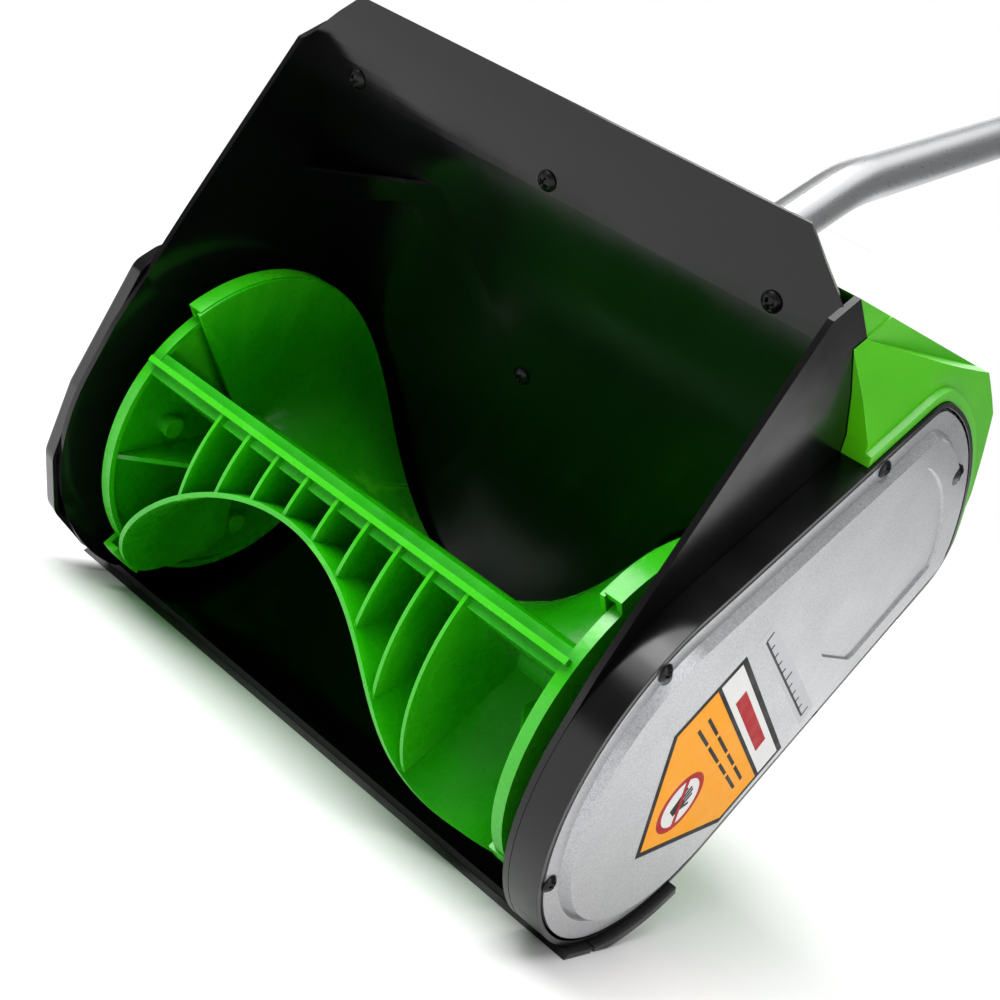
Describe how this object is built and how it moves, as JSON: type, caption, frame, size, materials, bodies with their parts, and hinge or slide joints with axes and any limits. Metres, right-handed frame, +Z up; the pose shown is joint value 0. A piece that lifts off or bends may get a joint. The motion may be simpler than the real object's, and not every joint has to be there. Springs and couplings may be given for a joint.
{
  "type": "cordless snow shovel",
  "caption": "Battery snow shovel: open scoop with a paddle rotor across its mouth, belt drive on one side, bent tube, assist loop and trigger handle.",
  "frame": {"origin": "centre of the scraper bar's underside, on the ground", "axes": "+Z up, +Y back along the handle towards the operator, +X to the belt side, which is the right side seen from in front"},
  "size_m": [0.35, 1.3472, 0.94],
  "materials": {
    "black_abs": "glossy injection-moulded black ABS",
    "scraper_plastic": "satin black nylon",
    "green_abs": "glossy moulded green ABS",
    "green_cover_abs": "satin lime green ABS",
    "silver_paint": "silver paint on moulded ABS",
    "black_screw": "black zinc screws",
    "bearing_steel": "ground steel",
    "pulley_nylon": "moulded nylon",
    "belt_rubber": "rubber belt",
    "motor_steel": "plated steel can",
    "tube_aluminium": "satin silver aluminium",
    "handle_nylon": "textured black nylon",
    "assist_steel": "black powder-coated tube",
    "zinc_bolt": "zinc-plated bolt",
    "grip_rubber": "soft ribbed rubber",
    "handle_abs": "satin lime green ABS",
    "trigger_abs": "black ABS",
    "board_green": "circuit board",
    "lead_pvc": "PVC sheath",
    "battery_abs": "textured black ABS"
  },
  "bodies": {
    "machine": {"scoop_housing": "black_abs", "hood_screws": "black_screw", "scraper_bar": "scraper_plastic", "skid_right": "scraper_plastic", "skid_left": "scraper_plastic", "left_side_case": "black_abs", "side_case_screws": "black_screw", "bearing_right": "bearing_steel", "bearing_left": "bearing_steel", "idler_stud": "bearing_steel", "belt_case": "black_abs", "belt_cover": "silver_paint", "cover_screws": "black_screw", "drive_belt": "belt_rubber", "motor": "motor_steel", "rear_cover": "green_cover_abs", "lower_tube": "tube_aluminium", "upper_tube": "tube_aluminium", "tube_coupler": "handle_nylon", "handle_shell_left": "handle_abs", "handle_shell_right": "handle_abs", "handle_screws": "black_screw", "grip_overmould": "grip_rubber", "trigger_pin": "bearing_steel", "trigger_spring": "bearing_steel", "microswitch": "handle_nylon", "controller_board": "board_green", "battery_terminals": "handle_nylon", "power_lead": "lead_pvc"},
    "rotor": {"auger_rotor": "green_abs", "rotor_shaft": "bearing_steel", "driven_pulley": "pulley_nylon"},
    "motor_rotor": {"motor_shaft": "bearing_steel", "motor_fan": "pulley_nylon", "drive_pulley": "pulley_nylon"},
    "idler": {"belt_idler": "pulley_nylon"},
    "assist_mount": {"assist_clamp": "handle_nylon", "assist_bolt": "zinc_bolt"},
    "assist_handle": {"assist_bail": "assist_steel", "assist_grip": "grip_rubber"},
    "assist_knob": {"assist_knob": "handle_nylon"},
    "coupler_knob": {"coupler_knob": "handle_nylon"},
    "trigger": {"trigger": "trigger_abs"},
    "lock_button": {"lock_button": "trigger_abs"},
    "battery": {"battery_pack": "battery_abs"},
    "battery_latch": {"battery_latch": "trigger_abs"}
  },
  "joints": [
    {"name": "rotor_spin", "type": "hinge", "parent": "machine", "child": "rotor", "pos_m": [0, 0.005, 0.1], "axis": [1, 0, 0], "continuous": true},
    {"name": "motor_spin", "type": "hinge", "parent": "machine", "child": "motor_rotor", "pos_m": [0.155, 0.103, 0.198], "axis": [1, 0, 0], "continuous": true},
    {"name": "idler_spin", "type": "hinge", "parent": "machine", "child": "idler", "pos_m": [0.1627, 0.09519, 0.14194], "axis": [1, 0, 0], "continuous": true},
    {"name": "assist_slide", "type": "slide", "parent": "machine", "child": "assist_mount", "axis": [0, 0.8821, 0.471], "range_m": [-0.06, 0.15]},
    {"name": "assist_tilt", "type": "hinge", "parent": "assist_mount", "child": "assist_handle", "pos_m": [0, 0.69304, 0.66253], "axis": [1, 0, 0], "range_deg": [-35, 55]},
    {"name": "assist_knob_turn", "type": "hinge", "parent": "assist_mount", "child": "assist_knob", "pos_m": [0.036, 0.69304, 0.66253], "axis": [1, 0, 0], "range_deg": [-360, 360]},
    {"name": "coupler_knob_turn", "type": "hinge", "parent": "machine", "child": "coupler_knob", "pos_m": [0, 0.59252, 0.54083], "axis": [0, -0.471, 0.8821], "range_deg": [-360, 360]},
    {"name": "trigger_pull", "type": "hinge", "parent": "machine", "child": "trigger", "pos_m": [0, 1.09118, 0.86377], "axis": [1, 0, 0], "range_deg": [0, 8], "stiffness_Nm_per_rad": 1.2, "springref_deg": -20.05},
    {"name": "lock_press", "type": "slide", "parent": "machine", "child": "lock_button", "axis": [0, 0.471, -0.8821], "range_m": [0, 0.003], "stiffness_N_per_m": 600, "springref_m": -0.002},
    {"name": "battery_slide", "type": "slide", "parent": "machine", "child": "battery", "axis": [0, 0.8821, 0.471], "range_m": [0, 0.16]},
    {"name": "latch_press", "type": "slide", "parent": "battery", "child": "battery_latch", "axis": [0, -0.8821, -0.471], "range_m": [0, 0.002], "stiffness_N_per_m": 800, "springref_m": -0.002}
  ],
  "couplings": [
    {"joint": "motor_spin", "follows": "rotor_spin", "ratio": 4},
    {"joint": "idler_spin", "follows": "rotor_spin", "ratio": -5.1111}
  ]
}
